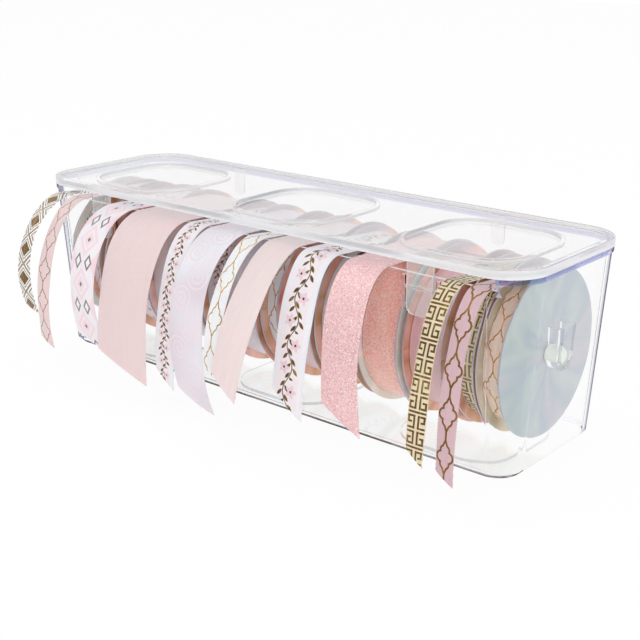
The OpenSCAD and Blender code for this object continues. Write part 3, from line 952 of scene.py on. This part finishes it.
def around_rod(radius, angle):
    return radius * math.cos(angle), ROD_Z + radius * math.sin(angle)


def new_cloth(name, points, faces, flat_points):
    """A mesh in metres from points in millimetres, with its flat layout kept as a UV map in millimetres."""
    mesh = bpy.data.meshes.new(name)
    mesh.from_pydata([[c * MM for c in point] for point in points], [], faces)
    layer = mesh.uv_layers.new(name="ribbon_mm")
    for loop in mesh.loops:
        layer.data[loop.index].uv = flat_points[loop.vertex_index]
    piece = bpy.data.objects.new(name, mesh)
    bpy.context.scene.collection.objects.link(piece)
    bpy.ops.object.select_all(action="DESELECT")
    bpy.context.view_layer.objects.active = piece
    piece.select_set(True)
    bpy.ops.object.shade_smooth()
    return piece


def given_thickness(piece, thickness):
    bpy.context.view_layer.objects.active = piece
    solid = piece.modifiers.new("ribbon_thickness", "SOLIDIFY")
    solid.thickness = thickness * MM
    solid.offset = 0
    solid.use_even_offset = True
    bpy.ops.object.modifier_apply(modifier="ribbon_thickness")
    bpy.ops.object.shade_smooth_by_angle(angle=math.radians(CLOTH_SMOOTH_WITHIN))


def wind_roll(number, cloth):
    """A roll that ends in its outer turns, which lie one over the other up to where the ribbon leaves."""
    left, right, roll_r = spool_sizes(number)
    middle = (left + right) / 2
    last = leave_angle(roll_r)
    count = int(STEPS_A_TURN * TURNS) + 1
    points = []
    flat = []
    faces = []
    edge_band = 0.35
    edge_sink = 0.12
    columns = (left, left + edge_band, right - edge_band, right)
    sink = (edge_sink, 0, 0, edge_sink)
    run = 0
    for k in range(count):
        share = k / (count - 1)
        angle = last - 2 * math.pi * TURNS * (1 - share)
        radius = roll_r - RIBBON_T / 2 - TURN_PITCH * TURNS * (1 - share)
        run += radius * 2 * math.pi / STEPS_A_TURN
        for x, drop in zip(columns, sink):
            y, z = around_rod(radius - drop, angle)
            points.append((x, y, z))
            flat.append((x - middle, run))
    wide = len(columns)
    for k in range(count - 1):
        for c in range(wide - 1):
            first = wide * k + c
            faces.append((first, first + 1, first + wide + 1, first + wide))
    turns = new_cloth(f"ribbon_{number:02d}_turns", points, faces, flat)
    given_thickness(turns, RIBBON_T)
    core = wound_core(number, left, right, roll_r - TURN_PITCH * TURNS - UNDER_TURNS)
    bpy.ops.object.select_all(action="DESELECT")
    core.select_set(True)
    turns.select_set(True)
    bpy.context.view_layer.objects.active = turns
    bpy.ops.object.join()
    turns.name = f"wound_ribbon_{number:02d}"
    turns.data.materials.append(cloth)
    attached(turns, f"spool_{number:02d}", f"ribbon_{number:02d}", f"ribbon_{number:02d}_roll")


def wound_core(number, left, right, radius):
    """The turns underneath, whose edges show as fine rings on both sides."""
    rings = 14
    ring_step = 0.12
    ring_gap = 0.05
    ring_share = 0.75
    edge_slope = 0.25
    middle = (left + right) / 2
    profile = [(left, CORE_R)]
    for k in range(rings):
        r0 = CORE_R + (radius - CORE_R) * k / rings
        r1 = CORE_R + (radius - CORE_R) * (k + ring_share) / rings
        x = left + ring_step * (k % 2)
        profile += [(x, r0 + ring_gap), (x, r1)]
    profile.append((left + edge_slope, radius))
    profile += [(left + right - x, r) for x, r in reversed(profile)]
    points = []
    flat = []
    for k in range(STEPS_A_TURN):
        angle = 2 * math.pi * k / STEPS_A_TURN
        for x, r in profile:
            y, z = around_rod(r, angle)
            points.append((x, y, z))
            flat.append((x - middle, r * angle))
    size = len(profile)
    faces = []
    for k in range(STEPS_A_TURN):
        here = k * size
        there = (k + 1) % STEPS_A_TURN * size
        for c in range(size):
            n = (c + 1) % size
            faces.append((here + c, here + n, there + n, there + c))
    core = new_cloth(f"ribbon_{number:02d}_wound", points, faces, flat)
    bpy.ops.object.mode_set(mode="EDIT")
    bpy.ops.mesh.select_all(action="SELECT")
    bpy.ops.mesh.normals_make_consistent(inside=False)
    bpy.ops.object.mode_set(mode="OBJECT")
    bpy.ops.object.shade_smooth_by_angle(angle=math.radians(CLOTH_SMOOTH_WITHIN))
    return core


def curve_point(ends, t):
    weights = ((1 - t) ** 3, 3 * t * (1 - t) ** 2, 3 * t * t * (1 - t), t ** 3)
    return tuple(sum(w * p[axis] for w, p in zip(weights, ends)) for axis in (0, 1))


def tail_route(roll_r, run_on, bulge, tip):
    """Where a hanging end lies, in [y, z]: off the roll, over the lip and down to its tip."""
    lead_r = roll_r + LEAD_GAP
    last = leave_angle(roll_r)
    start = around_rod(lead_r, last)
    reach = math.dist(start, OVER_LIP)
    ahead = [OVER_LIP[axis] + run_on * (OVER_LIP[axis] - start[axis]) / reach for axis in (0, 1)]
    ends = (OVER_LIP, ahead, (-LIP_Y - bulge[0], bulge[1]), (-LIP_Y - tip[0], tip[1]))
    lead_angle = 0.16
    roll_points = 6
    lip_points = 24
    hang_points = 90
    route = [around_rod(lead_r, last - lead_angle * (1 - k / roll_points)) for k in range(roll_points)]
    for k in range(lip_points):
        route.append([start[axis] + (OVER_LIP[axis] - start[axis]) * k / lip_points for axis in (0, 1)])
    route += [curve_point(ends, k / hang_points) for k in range(hang_points + 1)]
    return route


def lengths_along(route):
    run = [0]
    for before, after in zip(route, route[1:]):
        run.append(run[-1] + math.dist(before, after))
    return run


def point_at(route, run, s):
    """The point and the outward direction on the route after a length s."""
    k = 0
    while k < len(run) - 2 and run[k + 1] < s:
        k += 1
    share = (s - run[k]) / (run[k + 1] - run[k])
    a = route[k]
    b = route[k + 1]
    before = route[max(k - 1, 0)]
    after = route[min(k + 2, len(route) - 1)]
    reach = math.dist(before, after)
    outward = ((after[1] - before[1]) / reach, -(after[0] - before[0]) / reach)
    return (a[0] + (b[0] - a[0]) * share, a[1] + (b[1] - a[1]) * share), outward


def cut_length(route, run, height):
    """How far along the route its last stretch comes down to a height."""
    k = len(route) - 1
    while route[k - 1][1] < height:
        k -= 1
    share = (height - route[k][1]) / (route[k - 1][1] - route[k][1])
    return run[k] - share * (run[k] - run[k - 1])


def hang_tail(number, run_on, bulge, tip, cut_rise, cup, cloth):
    """A ribbon's free end: off its roll, over the lip and down to its slanting cut."""
    left, right, roll_r = spool_sizes(number)
    width = right - left
    middle = (left + right) / 2
    route = tail_route(roll_r, run_on, bulge, tip)
    run = lengths_along(route)
    columns = max(LEAST_COLUMNS, round(width / COLUMN_WIDTH) + 1)
    picots = number in PICOT_EDGES
    step = PICOT_STEP if picots else ROW_STEP
    ends = []
    for c in range(columns):
        share = c / (columns - 1)
        ends.append(cut_length(route, run, tip[1] + cut_rise * (1 - share)))
    shared = min(ends) - CUT_BAND
    rows = round(shared / step)
    points = []
    flat = []
    for row in range(rows + CUT_ROWS + 1):
        for c in range(columns):
            across = 2 * c / (columns - 1) - 1
            if row <= rows:
                s = shared * row / rows
            else:
                s = shared + (ends[c] - shared) * (row - rows) / CUT_ROWS
            (y, z), outward = point_at(route, run, s)
            hanging = max(0, min(1, (s - CURL_FROM) / CURL_OVER))
            lift = cup * hanging * (across * across - CUP_MIDDLE)
            lift += WAVER * hanging * math.sin(s / WAVER_LENGTH + number) * across
            x = middle + across * width / 2
            if picots and c in (0, columns - 1) and row % 2:
                x -= across * PICOT_DEPTH
            points.append((x, y - outward[0] * lift, z - outward[1] * lift))
            flat.append((x - middle, s))
    faces = []
    for row in range(rows + CUT_ROWS):
        for c in range(columns - 1):
            first = row * columns + c
            faces.append((first, first + columns, first + columns + 1, first + 1))
    tail = new_cloth(f"hanging_ribbon_{number:02d}", points, faces, flat)
    given_thickness(tail, RIBBON_T)
    tail.data.materials.append(cloth)
    attached(tail, "box", f"ribbon_{number:02d}", f"ribbon_{number:02d}_tail")
    area = sum((a + b) / 2 for a, b in zip(ends, ends[1:])) / (columns - 1) * width
    flat_size = (round(width, 2) * MM, max(ends) * MM)
    area * MM * MM


def dress_ribbons():
    roll_cloths, tail_cloths = ribbon_cloths()
    for number, run_on, bulge, tip, cut_rise, cup in TAILS:
        hang_tail(number, run_on, bulge, tip, cut_rise, cup, tail_cloths[number])
    for number in SPOOLS:
        wind_roll(number, roll_cloths[number])


place_camera()
dress_ribbons()
lay_floor()
light_studio()
mould_box()
mould_lid()
dress_spools()

bpy.context.scene.view_settings.view_transform = "Standard"
